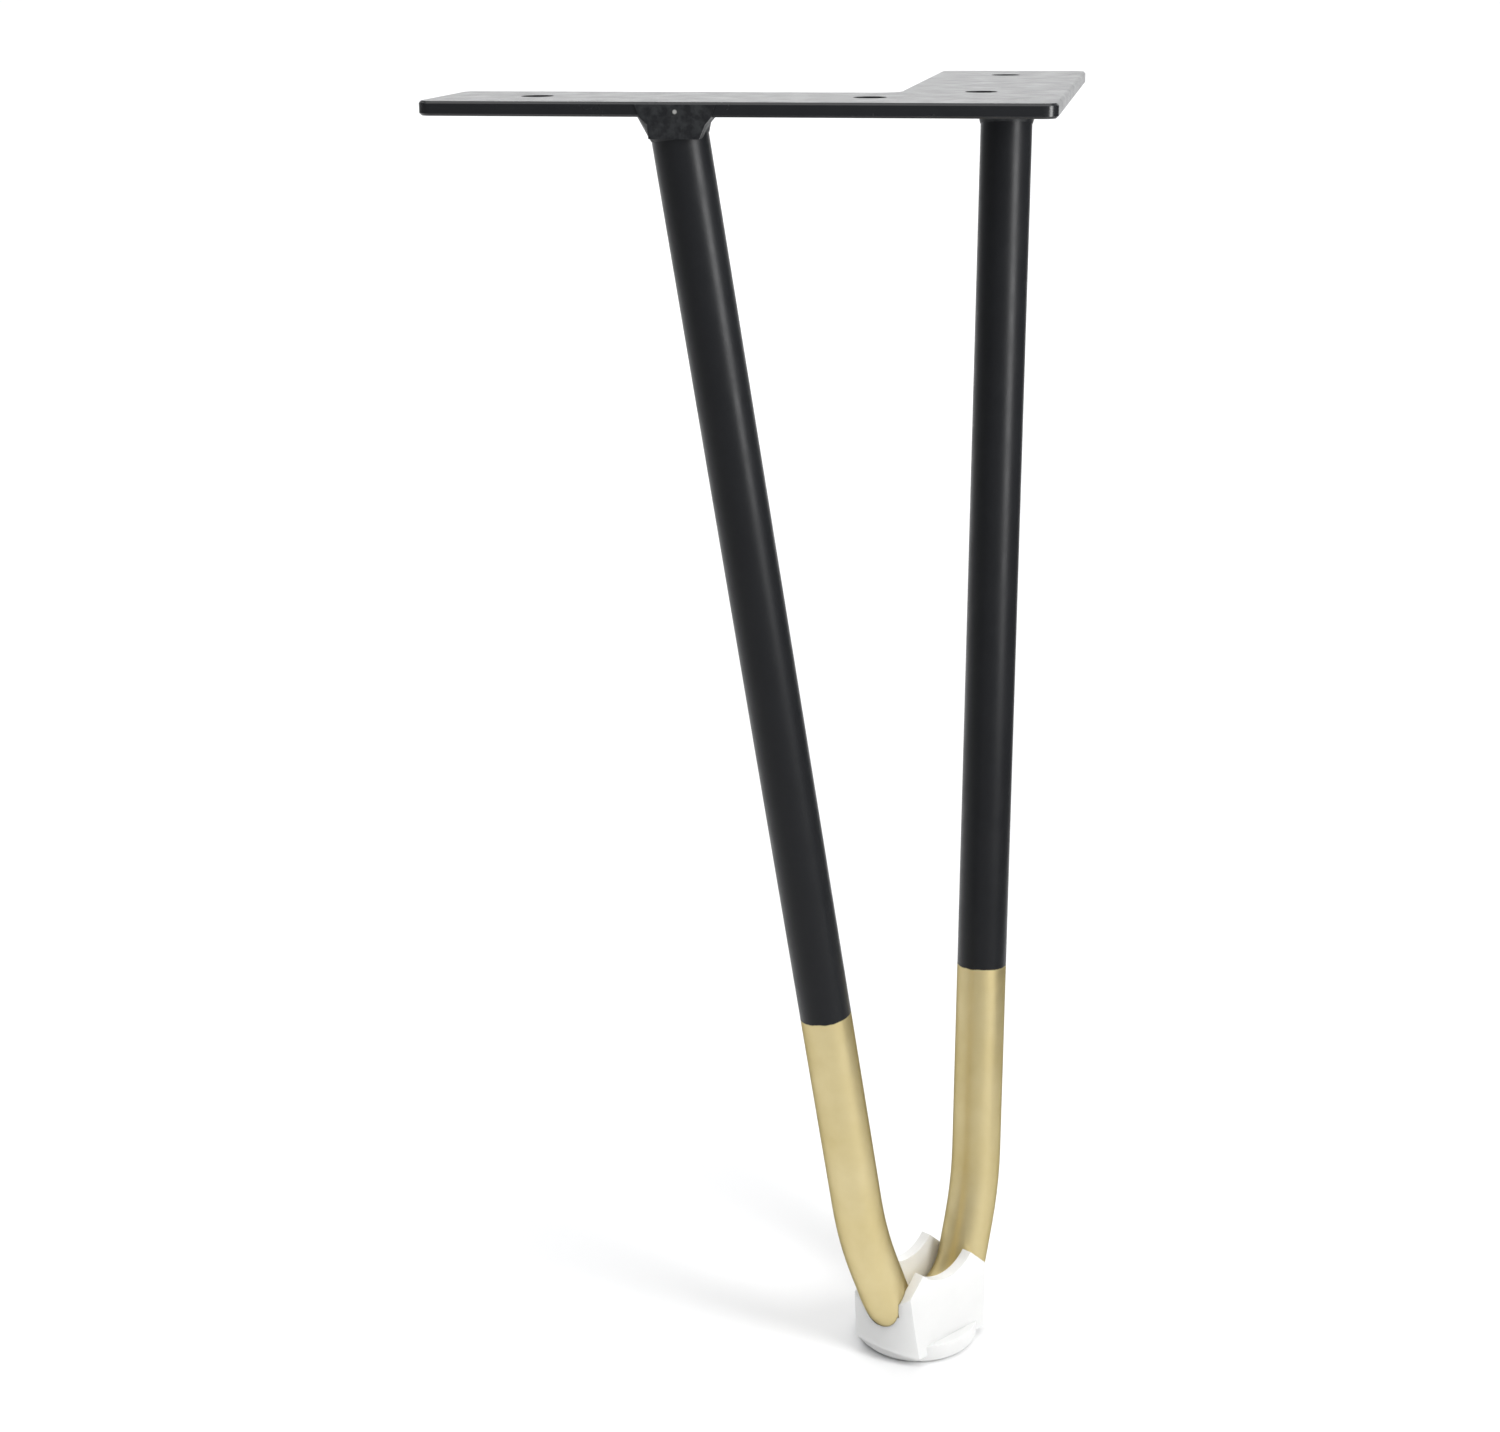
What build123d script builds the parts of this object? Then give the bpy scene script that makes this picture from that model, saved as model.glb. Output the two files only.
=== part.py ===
from build123d import *
from math import sqrt
import os

# Hairpin furniture leg, in millimetres. The leg stands upright under a table top: +Z is up, the top of the
# plate is z = 0, and the origin is where the two lines of screw holes cross. The front arm of the plate runs
# along -X and the side arm along +Y.

# Whole leg
leg_height = 249.5          # table underside to floor

# Mounting plate, an L with two equal arms
plate_length = 110.0        # outer edge of each arm
arm_width = 30.0
plate_thickness = 2.5
outer_corner_radius = 2.5
inner_corner_radius = 4.0
plate_edge_break = 0.4
hole_diameter = 5.8
hole_inset = 15.4           # hole line to the outer edge beside it
first_hole = 33.1           # outer edge of the other arm to the nearer hole
hole_spacing = 59.3

# Rod
rod_diameter = 10.0
bend_radius = 11.9          # at the rod's axis
knee_radius = 71.0          # gentle curve between each straight run and the bend
knee_height = 22.5          # corner of the knee over the lowest point of the bend
knee_half_gap = 16.2        # corner of the knee to the middle line of the V
front_rod_inset = 5.2       # front edge of the plate to the axis of the front rod
front_rod_along = 65.1      # right edge of the plate to the axis of the front rod
rear_rod_inset = 13.3       # right edge of the plate to the axis of the rear rod
rear_rod_along = 68.8       # front edge of the plate to the axis of the rear rod
foot_reach = 25.1           # how far the foot stands outside the line of the rod ends

# Welds
front_weld_height = 3.6
rear_weld_height = 5.4
weld_leg = 1.4              # width of the weld on the plate's underside
weld_toe = 0.1              # thickness where the weld runs out on the rod
face_half = 6.2             # half width of the dressed face of the front weld at the plate's underside
face_flare = 0.8            # how much wider the face is at the plate's top edge, each side
face_waist = 5.0            # half width a third of the way down to the face's lower end
face_toe = 4.4              # half width at the lower end
face_shift = 0.8            # middle of the face to the right of the rod's axis
face_proud = 0.2            # how far the face stands out from the plate's front face

# Floor protector
shoe_base_diameter = 25.0
shoe_base_thickness = 4.0
shoe_base_break = 0.8
shoe_set_back = 2.8         # centre of the base behind the lowest point of the bend
shoe_span = 28.0            # round that the ends of the cheeks are trimmed to
shoe_sole = 1.4             # material under the rod
shoe_wall = 2.0
shoe_clearance = 0.1
shoe_slot = 9.6             # opening between the cheeks, a little less than the rod so that they grip
shoe_radius = 19.0          # curve of the cradle, at the rod's axis
shoe_half_angle = 46.0      # how far the cradle reaches round its curve, each way
shoe_lip = 9.5              # how far the cheeks rise past the rod's axis

rod_radius = rod_diameter / 2
right_edge = hole_inset
front_edge = -hole_inset
underside = -plate_thickness

# The two rods lie in one leaning plane, which the bend's lowest point and both rod ends fix.
front_end = Vector(right_edge - front_rod_along, front_edge + front_rod_inset, underside)
rear_end = Vector(right_edge - rear_rod_inset, front_edge + rear_rod_along, underside)
end_middle = (front_end + rear_end) * 0.5
across = (rear_end - front_end).normalized()
outward = across.cross(Vector(0, 0, 1))
bend_bottom_z = -leg_height + shoe_sole + shoe_clearance + rod_radius
bend_bottom = end_middle + outward * foot_reach + Vector(0, 0, bend_bottom_z - underside)
down = (bend_bottom - end_middle).normalized()
knee_middle = bend_bottom - down * knee_height
front_knee = knee_middle - across * knee_half_gap
rear_knee = knee_middle + across * knee_half_gap


def find_apex():
    """Return the point where the two stretches below the knees would meet without the bend."""
    reach = knee_height - bend_radius
    share = bend_radius / knee_half_gap
    depth = (reach + share * sqrt(reach**2 + knee_half_gap**2 * (1 - share**2))) / (1 - share**2)
    return knee_middle + down * depth


apex = find_apex()


def make_plate():
    """Make the L plate with rounded corners, broken edges and its four screw holes."""
    notch = plate_length - arm_width
    with BuildPart() as plate:
        with BuildSketch(Plane.XY.offset(underside)):
            with Locations((right_edge, front_edge)):
                Rectangle(plate_length, plate_length, align=(Align.MAX, Align.MIN))
            with Locations((right_edge - arm_width, front_edge + arm_width)):
                Rectangle(notch, notch, align=(Align.MAX, Align.MIN), mode=Mode.SUBTRACT)
        extrude(amount=plate_thickness)
        uprights = plate.edges().filter_by(Axis.Z)
        uprights = uprights.sort_by_distance((right_edge - arm_width, front_edge + arm_width, underside))
        fillet(uprights[1:], outer_corner_radius)
        inner = plate.edges().filter_by(Axis.Z).sort_by_distance(uprights[0].center())[0]
        fillet(inner, inner_corner_radius)
        chamfer(plate.faces().filter_by(Axis.Z).edges(), plate_edge_break)
        for step in (first_hole, first_hole + hole_spacing):
            with Locations((right_edge - step, 0, underside), (0, front_edge + step, underside)):
                Cylinder(hole_diameter / 2, plate_thickness, align=(Align.CENTER, Align.CENTER, Align.MIN),
                         mode=Mode.SUBTRACT)
    return plate.part


def sweep_rod(radius):
    """Sweep a round bar of the given radius along the whole axis of the rod, past both ends."""
    start = front_end + (front_end - front_knee).normalized() * rod_radius
    stop = rear_end + (rear_end - rear_knee).normalized() * rod_radius
    path = FilletPolyline(start, front_knee, apex, rear_knee, stop,
                          radius=(knee_radius, bend_radius, knee_radius))
    return sweep(Plane(origin=start, z_dir=front_knee - start) * Circle(radius), path=path)


def above_underside():
    """Make a block over the whole leg, from the plate's underside up, to cut rod and weld ends with."""
    return Pos(0, 0, underside) * Box(4 * plate_length, 4 * plate_length, 4 * rod_diameter,
                                      align=(Align.CENTER, Align.CENTER, Align.MIN))


def make_rod():
    """Make the bent rod, with both ends cut flush with the plate's underside."""
    return sweep_rod(rod_radius) - above_underside()


def point_below(end, knee, drop):
    """Return the point of a run's axis that lies the given drop below its end."""
    run = (knee - end).normalized()
    return end - run * (drop / run.Z)


def make_collar(end, knee, height):
    """Make the weld round a rod end, a cone down the leaning rod that is cut at the plate's underside."""
    narrow = rod_radius + weld_toe
    wide = rod_radius + weld_leg
    over = rod_radius
    widest = wide + (wide - narrow) * over / height
    cone = Cone(widest, narrow, over + height, align=(Align.CENTER, Align.CENTER, Align.MIN))
    ring = Pos(0, 0, -over) * cone - Cylinder(rod_radius, 4 * (over + height))
    return Plane(origin=end, z_dir=knee - end).location * ring - above_underside()


def make_front_weld(plate):
    """Make the weld of the front rod end, carried forward over the plate's front face and dressed flat."""
    waist = point_below(front_end, front_knee, front_weld_height / 3)
    foot = point_below(front_end, front_knee, front_weld_height)
    rows = ((front_end.X + face_shift, -plate_edge_break, face_half + face_flare),
            (front_end.X + face_shift, underside, face_half),
            (waist.X + face_shift, waist.Z, face_waist),
            (foot.X, foot.Z, face_toe))
    left = [(middle - half, level) for middle, level, half in rows]
    right = [(middle + half, level) for middle, level, half in rows]
    outline = Polyline(*left, *reversed(right), close=True)
    face = Plane.XZ.offset(-front_end.Y) * make_face(outline)
    apron = extrude(face, amount=front_rod_inset + face_proud)
    room = 4 * rod_diameter
    core = Plane(origin=front_end, z_dir=front_knee - front_end).location * Cylinder(rod_radius, room)
    beyond = Pos(front_end.X, front_edge - face_proud, 0) * Box(room, room, room,
                                                               align=(Align.CENTER, Align.MAX, Align.CENTER))
    collar = make_collar(front_end, front_knee, front_weld_height)
    return collar + apron - beyond - core - plate


def make_shoe():
    """Make the clip-on floor protector: a round base with two cheeks that hold the bend between them."""
    bore = rod_radius + shoe_clearance
    shell = bore + shoe_wall
    cradle_plane = Plane(origin=bend_bottom - down * shoe_radius, x_dir=down, z_dir=across.cross(down))
    with BuildSketch(Plane.XZ) as section:
        with Locations((shoe_radius - shoe_lip, 0)):
            Rectangle(shoe_lip + shell, 2 * shell, align=(Align.MIN, Align.CENTER))
    cradle = revolve(section.sketch, axis=Axis.Z, revolution_arc=2 * shoe_half_angle)
    cradle = Rot(0, 0, -shoe_half_angle) * cradle
    slot = Cylinder(shoe_radius, shoe_slot)
    middle = bend_bottom - outward * shoe_set_back
    floor = Pos(middle.X, middle.Y, -leg_height)
    on_floor = (Align.CENTER, Align.CENTER, Align.MIN)
    base = floor * Cylinder(shoe_base_diameter / 2, shoe_base_thickness, align=on_floor)
    base = chamfer(base.edges().filter_by(GeomType.CIRCLE).sort_by(Axis.Z)[0], shoe_base_break)
    in_base = floor * Pos(0, 0, shoe_base_thickness / 2)
    room = in_base * Cylinder(shoe_span / 2, leg_height, align=on_floor)
    shoe = base + (cradle_plane.location * cradle & room)
    return shoe - cradle_plane.location * slot - sweep_rod(bore)


os.makedirs("parts", exist_ok=True)
mounting_plate = make_plate()
parts = {
    "mounting_plate": mounting_plate,
    "hairpin_rod": make_rod(),
    "front_weld_bead": make_front_weld(mounting_plate),
    "rear_weld_bead": make_collar(rear_end, rear_knee, rear_weld_height),
    "floor_protector": make_shoe(),
}
for node, solid in parts.items():
    export_step(solid, f"parts/{node}.step")
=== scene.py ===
from math import cos, radians, sin

import bpy
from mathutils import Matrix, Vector


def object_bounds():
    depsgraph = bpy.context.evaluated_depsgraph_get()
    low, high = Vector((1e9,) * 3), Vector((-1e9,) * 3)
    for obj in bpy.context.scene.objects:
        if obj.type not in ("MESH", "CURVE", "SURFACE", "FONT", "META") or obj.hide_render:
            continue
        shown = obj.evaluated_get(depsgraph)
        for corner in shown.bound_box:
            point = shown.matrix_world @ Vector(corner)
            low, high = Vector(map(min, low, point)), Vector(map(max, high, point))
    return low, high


# Looks for the hairpin furniture leg: black powder coat, a satin gold foot and a soft white floor protector.
# Lengths are in metres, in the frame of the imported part. A grain is the scale of a noise, in waves per metre.

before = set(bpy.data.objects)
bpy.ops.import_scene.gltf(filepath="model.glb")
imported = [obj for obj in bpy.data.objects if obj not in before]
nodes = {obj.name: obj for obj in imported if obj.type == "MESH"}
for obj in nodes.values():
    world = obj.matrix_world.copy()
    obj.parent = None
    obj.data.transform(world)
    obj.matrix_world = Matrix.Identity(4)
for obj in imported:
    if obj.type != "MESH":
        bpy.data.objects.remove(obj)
size_as_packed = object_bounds()

leg_low, leg_high = size_as_packed
leg_middle = (leg_low + leg_high) / 2
floor_level = leg_low.z

# Powder coat
coat_black = (0.0090, 0.0095, 0.0107, 1.0)
coat_black_worn = (0.0126, 0.0133, 0.0150, 1.0)
plate_peel_depth = 0.00003
rod_peel_depth = 0.00004
weld_peel_depth = 0.00005

# Welds
weld_grey = (0.024, 0.0255, 0.027, 1.0)
weld_lump_depth = 0.0004
# a small spot of lighter grey on the front weld
spot_grey = (0.30, 0.30, 0.29, 1.0)
spot_place = (-0.0489, -0.0156, -0.0016)
spot_radius = 0.00025
spot_edge_radius = 0.00045           # radius where the spot has faded into the coat

# Gold foot
gold_deep = (0.60, 0.49, 0.23, 1.0)
gold_pale = (0.76, 0.66, 0.40, 1.0)
gold_edge_shade = (0.18, 0.18, 0.18, 1.0)     # painted shade: a tint that darkens the gold towards the sides of the rod
front_coat_length = 0.1713      # black coat along the front run of the rod, from the plate down
rear_coat_length = 0.1736       # the same along the rear run
paint_line_blur = 0.0001
paint_line_wander = 0.0002
end_tolerance = 0.0001          # how far below the rod's top a point still counts as one of its ends

# Floor protector
plastic_white = (0.74, 0.74, 0.73, 1.0)
plastic_clear = (0.80, 0.80, 0.79, 1.0)
plastic_glow = 0.003            # how far light spreads inside the plastic

# Studio floor, swept up into a backdrop
floor_white = (0.88, 0.88, 0.88, 1.0)
floor_white_soft = (0.90, 0.90, 0.90, 1.0)
floor_gap = 0.0001              # floor to the underside of the protector
floor_front = -3.0
floor_half_width = 4.0
sweep_start = 1.6               # where the floor begins to curve up
sweep_radius = 1.0
sweep_steps = 16
backdrop_height = 3.0

# Dark card on the right
card_dark = (0.02, 0.02, 0.02, 1.0)
card_dark_soft = (0.04, 0.04, 0.04, 1.0)
card_side = 0.17                # how far to the right it stands
card_near = -0.03
card_far = 0.35
card_top = 0.02

# Light
sky_colour = (0.95, 0.97, 1.0, 1.0)
sky_strength = 0.28
overhead_place = Vector((-0.05, -0.15, 1.0))
overhead_aim = Vector((-0.02, 0.0, -0.25))
overhead_size = (1.4, 1.2)
overhead_power = 11.0
backdrop_place = Vector((-0.5, 1.0, 1.5))
backdrop_aim = Vector((-0.6, 2.4, 0.1))
backdrop_size = (2.4, 0.6)
backdrop_power = 40.0
right_place = Vector((0.29, -0.16, 0.075))
right_aim = Vector((leg_middle.x, leg_middle.y, right_place.z))
right_size = (0.13, 0.34)
right_power = 1.3
right_beam = 140.0              # in degrees

# Camera
camera_place = Vector((0.0348, -0.4066, 0.0237))
camera_aim = Vector((-0.0396, 0.0004, -0.1138))
camera_roll = radians(-0.4)
camera_lens = 55.07             # in millimetres, and so is the sensor's width
camera_sensor_width = 36.0
camera_near = 0.01

# Sockets of the node groups
colour_socket = "NodeSocketColor"
value_socket = "NodeSocketFloat"
sheen_inputs = {"Grain": value_socket, "Smoothest": value_socket, "Roughest": value_socket}


def feed(tree, node, values):
    """Give a node's inputs their values, each an output of another node or a constant."""
    for name, value in values.items():
        if isinstance(value, bpy.types.NodeSocket):
            tree.links.new(value, node.inputs[name])
        else:
            node.inputs[name].default_value = value


def surface_place(tree):
    """Return the place of a surface point in its object's space."""
    return tree.nodes.new("ShaderNodeTexCoord").outputs["Object"]


def noise(tree, place, grain, detail=3.0):
    """Add a noise over a place and return its value."""
    node = tree.nodes.new("ShaderNodeTexNoise")
    feed(tree, node, {"Vector": place, "Scale": grain, "Detail": detail, "Roughness": 0.55})
    return node.outputs["Fac"]


def spread(tree, value, low, high, from_low=0.3, from_high=0.7):
    """Stretch a value, such as a noise, over the given range."""
    node = tree.nodes.new("ShaderNodeMapRange")
    feed(tree, node, {"Value": value, "From Min": from_low, "From Max": from_high})
    feed(tree, node, {"To Min": low, "To Max": high})
    return node.outputs["Result"]


def mix(tree, kind, share, first, second):
    """Mix two colours (kind RGBA) or two values (kind FLOAT) by a mask."""
    node = tree.nodes.new("ShaderNodeMix")
    node.data_type = kind
    feed(tree, node, {"Factor": share, "A": first, "B": second})
    return node.outputs["Result"]


def work_out(tree, operation, first, second):
    """Work out one value from two."""
    node = tree.nodes.new("ShaderNodeMath")
    node.operation = operation
    feed(tree, node, {0: first, 1: second})
    return node.outputs["Value"]


def distance_from(tree, place, point):
    """Measure how far a surface point lies from a fixed point."""
    node = tree.nodes.new("ShaderNodeVectorMath")
    node.operation = "DISTANCE"
    feed(tree, node, {0: place, 1: point})
    return node.outputs["Value"]


def bump(tree, height, strength, depth, under=None):
    """Add a bump from a height, over another bump if one is given, and return its normal."""
    node = tree.nodes.new("ShaderNodeBump")
    feed(tree, node, {"Height": height, "Strength": strength, "Distance": depth})
    if under:
        feed(tree, node, {"Normal": under})
    return node.outputs["Normal"]


def new_group(name, inputs, outputs):
    """Make a node group with the given sockets and return it with its input and output nodes."""
    group = bpy.data.node_groups.new(name, "ShaderNodeTree")
    for side, sockets in (("INPUT", inputs), ("OUTPUT", outputs)):
        for socket, kind in sockets.items():
            group.interface.new_socket(socket, in_out=side, socket_type=kind)
    return group, group.nodes.new("NodeGroupInput"), group.nodes.new("NodeGroupOutput")


def place_group(tree, group, values):
    """Place a node group in a tree with values of its own and return the node."""
    node = tree.nodes.new("ShaderNodeGroup")
    node.node_tree = group
    feed(tree, node, values)
    return node


def make_clouding():
    """Make the group that clouds a surface faintly between two near colours."""
    inputs = {"First Colour": colour_socket, "Second Colour": colour_socket, "Grain": value_socket}
    group, given, result = new_group("faint clouding", inputs, {"Colour": colour_socket})
    cloud = noise(group, surface_place(group), given.outputs["Grain"])
    colour = mix(group, "RGBA", cloud, given.outputs["First Colour"], given.outputs["Second Colour"])
    feed(group, result, {"Colour": colour})
    return group


def add_clouding(tree, first, second, grain):
    """Place the clouding in a tree and return its colour."""
    values = {"First Colour": first, "Second Colour": second, "Grain": grain}
    return place_group(tree, clouding, values).outputs["Colour"]


def make_sheen():
    """Make the group that varies a surface's roughness between its smoothest and its roughest spots."""
    group, given, result = new_group("uneven sheen", sheen_inputs, {"Roughness": value_socket})
    unevenness = noise(group, surface_place(group), given.outputs["Grain"])
    roughness = spread(group, unevenness, given.outputs["Smoothest"], given.outputs["Roughest"])
    feed(group, result, {"Roughness": roughness})
    return group


def add_sheen(tree, grain, smoothest, roughest):
    """Place the sheen in a tree and return its roughness."""
    values = {"Grain": grain, "Smoothest": smoothest, "Roughest": roughest}
    return place_group(tree, sheen, values).outputs["Roughness"]


def make_powder_coat():
    """Make the group of the powder coat: its clouded black, its sheen and the height of its orange peel."""
    outputs = {"Colour": colour_socket, "Roughness": value_socket, "Peel": value_socket}
    group, given, result = new_group("powder coat", sheen_inputs, outputs)
    grain, smoothest, roughest = (given.outputs[name] for name in sheen_inputs)
    feed(group, result, {
        "Colour": add_clouding(group, coat_black, coat_black_worn, grain=60.0),
        "Roughness": add_sheen(group, grain, smoothest, roughest),
        "Peel": noise(group, surface_place(group), grain=1800.0, detail=2.0),
    })
    return group


def add_powder_coat(tree, grain, smoothest, roughest):
    """Place the powder coat in a tree, with the grain and the limits of its sheen, and return its outputs."""
    values = {"Grain": grain, "Smoothest": smoothest, "Roughest": roughest}
    return place_group(tree, powder_coat, values).outputs


def new_material(name):
    """Make a material with a Principled shader and return it with its node tree and shader."""
    material = bpy.data.materials.new(name)
    material.use_nodes = True
    tree = material.node_tree
    return material, tree, tree.nodes["Principled BSDF"]


def make_plate_finish():
    """Make the plate's finish: powder coat, smoother than on the rod."""
    material, tree, shader = new_material("black powder coat")
    coat = add_powder_coat(tree, grain=180.0, smoothest=0.20, roughest=0.28)
    feed(tree, shader, {
        "Base Color": coat["Colour"],
        "Roughness": coat["Roughness"],
        "Normal": bump(tree, coat["Peel"], strength=0.15, depth=plate_peel_depth),
        "Specular IOR Level": 0.33,
    })
    return material


def make_weld_finish():
    """Make the welds' finish: powder coat over uneven, dressed metal, with one small spot of lighter grey."""
    material, tree, shader = new_material("black powder coat on weld")
    place = surface_place(tree)
    coat = add_powder_coat(tree, grain=400.0, smoothest=0.36, roughest=0.55)
    blotches = noise(tree, place, grain=700.0, detail=4.0)
    patches = spread(tree, blotches, 0.0, 1.0, from_low=0.42, from_high=0.62)
    uneven = mix(tree, "RGBA", patches, coat["Colour"], weld_grey)
    # a small spot of lighter grey, fading into the coat
    from_spot = distance_from(tree, place, spot_place)
    spot_share = spread(tree, from_spot, 1.0, 0.0, from_low=spot_radius, from_high=spot_edge_radius)
    unevenness = noise(tree, place, grain=420.0, detail=4.0)
    lumps = bump(tree, unevenness, strength=0.6, depth=weld_lump_depth)
    feed(tree, shader, {
        "Base Color": mix(tree, "RGBA", spot_share, uneven, spot_grey),
        "Roughness": coat["Roughness"],
        "Normal": bump(tree, coat["Peel"], strength=0.3, depth=weld_peel_depth, under=lumps),
        "Specular IOR Level": 0.22,
    })
    return material


def centre(points):
    """Return the mean of some points."""
    return sum(points, Vector()) / len(points)


def rod_ends():
    """Return the centres of the rod's two ends under the plate, the front one first."""
    corners = [v.co for v in nodes["hairpin_rod"].data.vertices]
    top = max(c.z for c in corners)
    ends = [c for c in corners if top - c.z < end_tolerance]
    between = centre(ends).x
    return centre([c for c in ends if c.x < between]), centre([c for c in ends if c.x >= between])


def gold_mask(tree, place):
    """Return 1 where a point of the rod lies past the paint lines of both runs, and 0 on the black coat."""
    front, rear = rod_ends()
    past_front = work_out(tree, "SUBTRACT", distance_from(tree, place, front), front_coat_length)
    past_rear = work_out(tree, "SUBTRACT", distance_from(tree, place, rear), rear_coat_length)
    past_both = work_out(tree, "MINIMUM", past_front, past_rear)
    wander = spread(tree, noise(tree, place, grain=260.0), -paint_line_wander, paint_line_wander)
    past_line = work_out(tree, "ADD", past_both, wander)
    return spread(tree, past_line, 0.0, 1.0, from_low=-paint_line_blur, from_high=paint_line_blur)


def make_rod_finish():
    """Make the rod's finish: powder coat above the paint line of each run and satin gold below it."""
    material, tree, shader = new_material("black coat with gold foot")
    coat = add_powder_coat(tree, grain=180.0, smoothest=0.33, roughest=0.43)
    gold = gold_mask(tree, surface_place(tree))
    gold_colour = add_clouding(tree, gold_deep, gold_pale, grain=90.0)
    gold_sheen = add_sheen(tree, grain=240.0, smoothest=0.42, roughest=0.50)
    feed(tree, shader, {
        "Base Color": mix(tree, "RGBA", gold, coat["Colour"], gold_colour),
        "Roughness": mix(tree, "FLOAT", gold, coat["Roughness"], gold_sheen),
        "Metallic": gold,
        "Normal": bump(tree, coat["Peel"], strength=0.25, depth=rod_peel_depth),
        "Specular IOR Level": 0.90,
        # the edge tint paints shade on the gold towards the sides of the rod
        "Specular Tint": gold_edge_shade,
    })
    return material


def make_plastic():
    """Make the floor protector's soft, milky white plastic."""
    material, tree, shader = new_material("soft white plastic")
    feed(tree, shader, {
        "Base Color": add_clouding(tree, plastic_white, plastic_clear, grain=130.0),
        "Roughness": add_sheen(tree, grain=300.0, smoothest=0.28, roughest=0.38),
        "Subsurface Weight": 0.35,
        "Subsurface Radius": (plastic_glow, plastic_glow, plastic_glow),
        "Subsurface Scale": 1.0,
    })
    return material


def dress(name, finish):
    """Put a finish in the slots of a CAD node."""
    for slot in nodes[name].material_slots:
        slot.material = finish


def add_sheet(name, corners, faces, colours, grain):
    """Add a matt, faintly clouded sheet to the studio."""
    mesh = bpy.data.meshes.new(name)
    mesh.from_pydata(corners, [], faces)
    mesh.shade_smooth()
    sheet = bpy.data.objects.new(name, mesh)
    bpy.context.collection.objects.link(sheet)
    material, tree, shader = new_material(name)
    colour = add_clouding(tree, *colours, grain)
    feed(tree, shader, {"Base Color": colour, "Roughness": 0.7, "Specular IOR Level": 0.2})
    mesh.materials.append(material)
    return sheet


def make_floor():
    """Lay the plain pale floor under the protector, swept up into a backdrop far behind the leg."""
    rows = [(floor_front, 0.0)]
    for step in range(sweep_steps + 1):
        turn = radians(90.0 * step / sweep_steps)
        rows.append((sweep_start + sweep_radius * sin(turn), sweep_radius * (1.0 - cos(turn))))
    rows.append((sweep_start + sweep_radius, backdrop_height))
    level = floor_level - floor_gap
    corners = [(side, y, level + z) for y, z in rows for side in (-floor_half_width, floor_half_width)]
    faces = [(2 * i, 2 * i + 1, 2 * i + 3, 2 * i + 2) for i in range(len(rows) - 1)]
    add_sheet("pale_floor", corners, faces, (floor_white, floor_white_soft), grain=1.5)


def stand_dark_card():
    """Stand a dark card on the right, seen only in reflections, which keeps the rods' right edges dark."""
    corners = [(card_side, y, z) for y in (card_near, card_far) for z in (floor_level, card_top)]
    card = add_sheet("dark_card", corners, [(0, 2, 3, 1)], (card_dark, card_dark_soft), grain=20.0)
    card.visible_camera = False
    card.visible_diffuse = False
    card.visible_shadow = False


def facing(place, aim):
    """Return the turn of a light or camera that looks from a place to a point."""
    return (aim - place).to_track_quat("-Z", "Y").to_euler()


def add_panel(name, place, aim, size, power, beam=180.0):
    """Hang a soft light panel that faces a point."""
    light = bpy.data.lights.new(name, "AREA")
    light.shape = "RECTANGLE"
    light.size, light.size_y = size
    light.energy = power
    light.spread = radians(beam)
    panel = bpy.data.objects.new(name, light)
    panel.location = place
    panel.rotation_euler = facing(place, aim)
    bpy.context.collection.objects.link(panel)


def light_studio():
    """Light leg and backdrop softly, with a tall panel on the right for the bright line down each rod."""
    world = bpy.data.worlds.new("studio")
    bpy.context.scene.world = world
    world.use_nodes = True
    sky = world.node_tree.nodes["Background"]
    feed(world.node_tree, sky, {"Color": sky_colour, "Strength": sky_strength})
    add_panel("overhead panel", overhead_place, overhead_aim, overhead_size, overhead_power)
    add_panel("backdrop panel", backdrop_place, backdrop_aim, backdrop_size, backdrop_power)
    add_panel("right panel", right_place, right_aim, right_size, right_power, beam=right_beam)


def place_camera():
    """Stand the camera in front of the leg, a little to the right and just over the plate."""
    camera = bpy.data.objects.new("camera", bpy.data.cameras.new("camera"))
    camera.data.sensor_width = camera_sensor_width
    camera.data.lens = camera_lens
    camera.data.clip_start = camera_near
    camera.location = camera_place
    camera.rotation_euler = facing(camera_place, camera_aim)
    camera.rotation_euler.rotate_axis("Z", camera_roll)
    bpy.context.collection.objects.link(camera)
    bpy.context.scene.camera = camera


place_camera()
clouding = make_clouding()
sheen = make_sheen()
powder_coat = make_powder_coat()
weld_finish = make_weld_finish()
dress("mounting_plate", make_plate_finish())
dress("hairpin_rod", make_rod_finish())
dress("front_weld_bead", weld_finish)
dress("rear_weld_bead", weld_finish)
dress("floor_protector", make_plastic())
make_floor()
stand_dark_card()
light_studio()
bpy.context.scene.view_settings.view_transform = "Standard"
